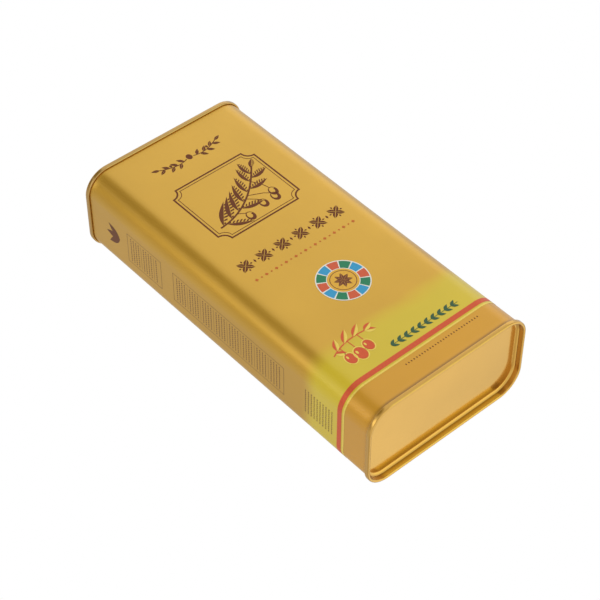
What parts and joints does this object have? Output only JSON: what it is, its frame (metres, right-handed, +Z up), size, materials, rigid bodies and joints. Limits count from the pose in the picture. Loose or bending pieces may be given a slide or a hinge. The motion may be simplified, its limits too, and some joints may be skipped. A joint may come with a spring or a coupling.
{
  "type": "oil tin with pull-up spout",
  "caption": "Flat rounded-rectangle tinplate can with double-seamed ends and a low pull-up pouring spout under a screw cap.",
  "frame": {"origin": "centre of the base, on the plane that the bottom rim stands on", "axes": "+Z up through the spout; +X along the wide side; the printed front faces -Y"},
  "size_m": [0.1042, 0.0532, 0.2302],
  "materials": {
    "printed_tinplate": "satin gold lacquer over tinplate, printed bands and panels",
    "gold_tinplate": "bright gold lacquer over tinplate",
    "sealing_compound": "matte",
    "spout_plastic": "natural white, slightly translucent",
    "gasket_rubber": "matte",
    "cap_plastic": "golden yellow, semi-gloss",
    "liner_foam": "matte"
  },
  "bodies": {
    "tin": {"body_shell": "printed_tinplate", "top_end": "gold_tinplate", "bottom_end": "gold_tinplate", "top_seam_compound": "sealing_compound", "bottom_seam_compound": "sealing_compound", "spout_base": "spout_plastic", "neck_gasket": "gasket_rubber"},
    "spout": {"pull_spout": "spout_plastic", "tamper_band": "cap_plastic"},
    "liner": {"cap_liner": "liner_foam"},
    "cap": {"screw_cap": "cap_plastic"}
  },
  "joints": [
    {"name": "spout_pull", "type": "slide", "parent": "tin", "child": "spout", "axis": [0, 0, 1], "range_m": [0, 0.019]},
    {"name": "cap_lift", "type": "slide", "parent": "spout", "child": "liner", "axis": [0, 0, 1], "range_m": [0, 0.027]},
    {"name": "cap_turn", "type": "hinge", "parent": "liner", "child": "cap", "pos_m": [0, 0, 0.2279], "axis": [0, 0, 1], "range_deg": [0, 1080]}
  ],
  "couplings": [
    {"joint": "cap_lift", "follows": "cap_turn", "m_per_rad": 0.0014324}
  ]
}
